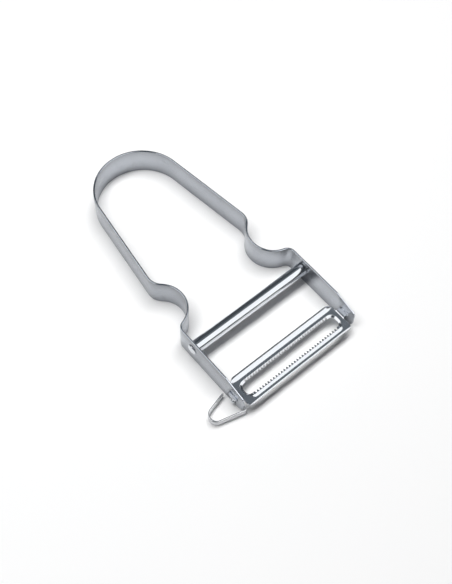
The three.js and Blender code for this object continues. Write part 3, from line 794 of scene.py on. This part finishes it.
def blade_mesh():
    """The blank's columns from slot to edge, pressed to shape, as an upper and a lower face.

    Both faces round off at the rim. A bevel is ground into the upper face round the slot, straight
    along each row of teeth: cut = (thickness - edge) (1 - run / length). The lower face is relieved
    under the slot's edge. The rows go out over one face and back under the other, so the skin closes.
    """
    inner, outer, toothed = blank_sides()
    share = (1 - np.cos(np.linspace(0, math.pi, BLADE_ROWS))) / 2
    width = np.linalg.norm(outer - inner, axis=1)[:, None]
    outwards = ((outer - inner) / width)[:, None, :]
    from_slot = share[None, :] * width
    blank = inner[:, None, :] + from_slot[..., None] * outwards
    relieved = blank + RELIEF * (1 - share)[None, :, None] * outwards
    from_tips = np.abs(blank[..., 1]) - np.where(blank[..., 1] > 0, rear_tip, front_tip)
    run = np.where(toothed[:, None], from_tips, from_slot)
    grind = np.where(toothed[:, None] & (blank[..., 1] < 0), FRONT_GRIND, REAR_GRIND)
    cut = (BLADE_THICKNESS - GRIND_EDGE) * np.clip(1 - run / grind, 0, 1)
    half = BLADE_THICKNESS / 2 - rim(width - from_slot, BLADE_RIM)
    skin = np.concatenate([pressed(blank, half - cut), pressed(relieved, -half)[:, ::-1]], 1)
    columns, rows = skin.shape[:2]
    verts = skin.reshape(-1, 3) + np.array(pivot)
    faces = grid_faces(columns, rows, wrap_rows=True)
    return put_mesh("peeler_swivel_blade", verts, faces, sharp=BLADE_SHARP_ANGLE)


blade = blade_mesh()
polished_blade = steel(
    "polished_blade", BLADE_STEEL, roughness=0.15, line_scale=(50, 2400, 2400), line_depth=0.4, smudge=0.3,
    bump_distance=0.003 * MM)
fit(blade, "swivel_blade", "blade", polished_blade)


# Eye remover
# A narrow stainless strip that is riveted inside the left leg, goes round its tip and stands out
# as a loop with a round nose. Its free end stops short of the leg's outer face.
EYE_THICKNESS = 0.6 * MM
EYE_EDGE_ROUND = 0.22 * MM
EYE_NOSE_RADIUS = 3.0 * MM
EYE_FRONT_SLANT = math.radians(15)
EYE_REAR_SLANT = math.radians(14.8)
EYE_TAIL = 1.9 * MM
EYE_END_GAP = 1.4 * MM
EYE_SPACING = 0.25 * MM
EYE_STEEL = (0.7, 0.71, 0.73, 1.0)

eye_low, eye_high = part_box("eye_remover")
eye_bend = STRIP_THICKNESS / 2 + SEAT_GAP + EYE_THICKNESS / 2
eye_tail_x = left_leg_x + eye_bend
eye_tail_y = pivot.y + EYE_TAIL
nose_x = eye_low.x + EYE_NOSE_RADIUS + EYE_THICKNESS / 2
front_from_x = left_leg_x - eye_bend * math.sin(EYE_FRONT_SLANT)
front_to_x = nose_x - EYE_NOSE_RADIUS * math.sin(EYE_FRONT_SLANT)
rear_from_x = nose_x - EYE_NOSE_RADIUS * math.sin(EYE_REAR_SLANT)
rear_to_x = strip_low.x - EYE_END_GAP - EYE_THICKNESS / 2 * math.sin(EYE_REAR_SLANT)
eye_points, eye_headings = bent_path((eye_tail_x, eye_tail_y), -math.pi / 2, [
    (2 * EYE_EDGE_ROUND, 0, RIM_SPACING),
    (eye_tail_y - strip_low.y - 2 * EYE_EDGE_ROUND, 0, EYE_SPACING),
    (eye_bend, -math.pi / 2 - EYE_FRONT_SLANT, EYE_SPACING / 4),
    ((front_from_x - front_to_x) / math.cos(EYE_FRONT_SLANT), 0, EYE_SPACING),
    (EYE_NOSE_RADIUS, EYE_FRONT_SLANT + EYE_REAR_SLANT - math.pi, EYE_SPACING / 2),
    ((rear_to_x - rear_from_x) / math.cos(EYE_REAR_SLANT) - 2 * EYE_EDGE_ROUND, 0, EYE_SPACING),
    (2 * EYE_EDGE_ROUND, 0, RIM_SPACING),
])
eye_bottom = np.full(len(eye_points), eye_low.z)
eye_top = np.full(len(eye_points), eye_high.z)
eye_remover = strip_mesh(
    "peeler_eye_remover", eye_points, eye_headings, eye_bottom, eye_top, EYE_THICKNESS, EYE_EDGE_ROUND)
punch(eye_remover, [hole_cutter(
    ring(RIVET_HOLE_RADIUS), rivet_centre, eye_tail_x - EYE_THICKNESS / 2, eye_tail_x + EYE_THICKNESS / 2)])
# The eye remover's tone carries a painted highlight on its edges and painted shade towards its long sides
eye_strip = steel(
    "eye_strip", EYE_STEEL, roughness=0.3, line_scale=(90, 4200, 1), line_depth=0.45, smudge=0.3,
    bump_distance=0.005 * MM, strip_width=eye_high.z - eye_low.z)
fit(eye_remover, "eye_remover", "handle", eye_strip)


# Eye remover rivet
# A small bright rivet. Its domed head sits outside the left leg, and its shank is closed to a flat
# tail inside the eye remover's end.
RIVET_SHANK_RADIUS = 0.65 * MM
RIVET_HEAD_RADIUS = 1.2 * MM
RIVET_HEAD_RISE = 0.8 * MM
RIVET_TAIL_RADIUS = 1.05 * MM
RIVET_TAIL_RISE = 0.4 * MM
RIVET_STEEL = (0.66, 0.68, 0.71, 1.0)

rivet_head_radii, rivet_head_heights = dome(RIVET_HEAD_RADIUS, RIVET_HEAD_RISE)
rivet_tail_radii, rivet_tail_heights = dome(RIVET_TAIL_RADIUS, RIVET_TAIL_RISE)
rivet_head_foot = rivet_low.x + RIVET_HEAD_RISE
rivet_tail_foot = rivet_high.x - RIVET_TAIL_RISE
rivet_places = np.concatenate([
    rivet_head_foot - rivet_head_heights, [rivet_head_foot, rivet_tail_foot],
    (rivet_tail_foot + rivet_tail_heights)[::-1]])
rivet_radii = np.concatenate([
    rivet_head_radii, [RIVET_SHANK_RADIUS, RIVET_SHANK_RADIUS], rivet_tail_radii[::-1]])
rivet_axis = (0, rivet_centre.y, rivet_centre.z)
rivet = turned_piece("peeler_eye_rivet", rivet_places, rivet_radii, rivet_axis, turns=56)
polished_rivet = steel(
    "polished_rivet", RIVET_STEEL, roughness=0.2, line_scale=(900, 900, 900), line_depth=0.3, smudge=0.4,
    bump_distance=0.004 * MM)
fit(rivet, "eye_remover_rivet", "handle", polished_rivet)


# Studio
# A wide white floor under a key softbox, which casts the soft shadows and isn't mirrored in the steel.
# The steel mirrors the dark room and three panels that light nothing else: a broad card, an edge card
# and a dim bluish ceiling panel.
FLOOR_HALF = 1.5
FLOOR_WHITE = (0.94, 0.94, 0.94, 1.0)
FLOOR_GLOW = 0.01
KEY_PLACE = (0, 0.14, 1.0)
KEY_SIZE = (1.2, 0.36)
KEY_POWER = 13.4
CARD_PLACE = (0.27, -0.44, 0.613)
CARD_SIZE = (1.05, 1.05)
CARD_POWER = 4.2
CEILING_PLACE = (0.388, 0.244, 1.055)
CEILING_SIZE = (0.9, 0.5)
CEILING_POWER = 0.14
CEILING_TINT = (0.8, 0.9, 1.0)
EDGE_CARD_PLACE = (-0.6, 0.366, 0.71)
EDGE_CARD_SIZE = (1.0, 1.0)
EDGE_CARD_POWER = 4.1
ROOM_LIGHT = (0.07, 0.078, 0.088, 1.0)
ROOM_DIM = 0.2


def seen_rays(tree):
    """1 for the rays that look at a surface: camera, glossy and transmission rays. 0 for other rays."""
    sight = add_node(tree, "ShaderNodeLightPath").outputs
    looked_at = combined(tree, "MAXIMUM", sight["Is Camera Ray"], sight["Is Glossy Ray"])
    return combined(tree, "MAXIMUM", looked_at, sight["Is Transmission Ray"])


floor = put_mesh("studio_floor", np.array([
    [-FLOOR_HALF, -FLOOR_HALF, 0], [FLOOR_HALF, -FLOOR_HALF, 0],
    [FLOOR_HALF, FLOOR_HALF, 0], [-FLOOR_HALF, FLOOR_HALF, 0]]), [[0, 1, 2, 3]])
floor_white = bpy.data.materials.new("floor_white")
floor_white.use_nodes = True
tree = floor_white.node_tree
tree.nodes.clear()
matte = add_node(tree, "ShaderNodeBsdfDiffuse")
matte.inputs["Color"].default_value = FLOOR_WHITE
glow = add_node(tree, "ShaderNodeEmission")
tree.links.new(scaled(tree, seen_rays(tree), FLOOR_GLOW, 0), glow.inputs["Strength"])
both = add_node(tree, "ShaderNodeAddShader")
tree.links.new(matte.outputs[0], both.inputs[0])
tree.links.new(glow.outputs[0], both.inputs[1])
out = add_node(tree, "ShaderNodeOutputMaterial")
tree.links.new(both.outputs[0], out.inputs["Surface"])
floor.data.materials.append(floor_white)


def softbox(name, size, power, place):
    """A rectangular area light at a place, turned to the floor's middle with its width along X."""
    lamp = bpy.data.lights.new(name, "AREA")
    lamp.shape = "RECTANGLE"
    lamp.size, lamp.size_y = size
    lamp.energy = power
    box = bpy.data.objects.new(name, lamp)
    away = Vector(place).normalized()
    across = (Vector((1, 0, 0)) - away.x * away).normalized()
    turned = Matrix((across, away.cross(across), away)).transposed()
    box.matrix_world = Matrix.Translation(place) @ turned.to_4x4()
    bpy.context.scene.collection.objects.link(box)
    return box


key_softbox = softbox("key_softbox", KEY_SIZE, KEY_POWER, KEY_PLACE)
key_softbox.visible_glossy = False
reflection_card = softbox("reflection_card", CARD_SIZE, CARD_POWER, CARD_PLACE)
ceiling_panel = softbox("ceiling_panel", CEILING_SIZE, CEILING_POWER, CEILING_PLACE)
edge_card = softbox("edge_card", EDGE_CARD_SIZE, EDGE_CARD_POWER, EDGE_CARD_PLACE)
ceiling_panel.data.color = CEILING_TINT
for card in (reflection_card, ceiling_panel, edge_card):
    card.visible_diffuse = False
room = bpy.data.worlds.new("dark_room")
room.use_nodes = True
tree = room.node_tree
sky = tree.nodes["Background"]
sky.inputs["Color"].default_value = ROOM_LIGHT
tree.links.new(scaled(tree, seen_rays(tree), 1 - ROOM_DIM, ROOM_DIM), sky.inputs["Strength"])
bpy.context.scene.world = room


# Camera
# It looks down on the peeler from beside the left leg, as a product shot does, with the blade at
# the lower right. A slight roll sets the picture as the photo has it.
CAMERA_AZIMUTH = math.radians(-42.67)
CAMERA_ELEVATION = math.radians(60.16)
CAMERA_ROLL = math.radians(2.83)
CAMERA_TARGET = Vector((5.83 * MM, -14.102 * MM, 0))
CAMERA_DISTANCE = 394.08 * MM
CAMERA_LENS = 60.31
SENSOR_WIDTH = 36
NEAREST_SIGHT = 0.01

back = Vector((
    math.sin(CAMERA_AZIMUTH) * math.cos(CAMERA_ELEVATION),
    -math.cos(CAMERA_AZIMUTH) * math.cos(CAMERA_ELEVATION),
    math.sin(CAMERA_ELEVATION)))
level_right = Vector((math.cos(CAMERA_AZIMUTH), math.sin(CAMERA_AZIMUTH), 0))
level_up = back.cross(level_right)
right = math.cos(CAMERA_ROLL) * level_right + math.sin(CAMERA_ROLL) * level_up
up = math.cos(CAMERA_ROLL) * level_up - math.sin(CAMERA_ROLL) * level_right
eye = CAMERA_TARGET + CAMERA_DISTANCE * back
lens = bpy.data.cameras.new("photo_camera")
lens.lens = CAMERA_LENS
lens.sensor_width = SENSOR_WIDTH
lens.clip_start = NEAREST_SIGHT
camera = bpy.data.objects.new("photo_camera", lens)
camera.matrix_world = Matrix((
    (right.x, up.x, back.x, eye.x), (right.y, up.y, back.y, eye.y),
    (right.z, up.z, back.z, eye.z), (0, 0, 0, 1)))
bpy.context.scene.collection.objects.link(camera)
bpy.context.scene.camera = camera
bpy.context.scene.view_settings.view_transform = "Standard"
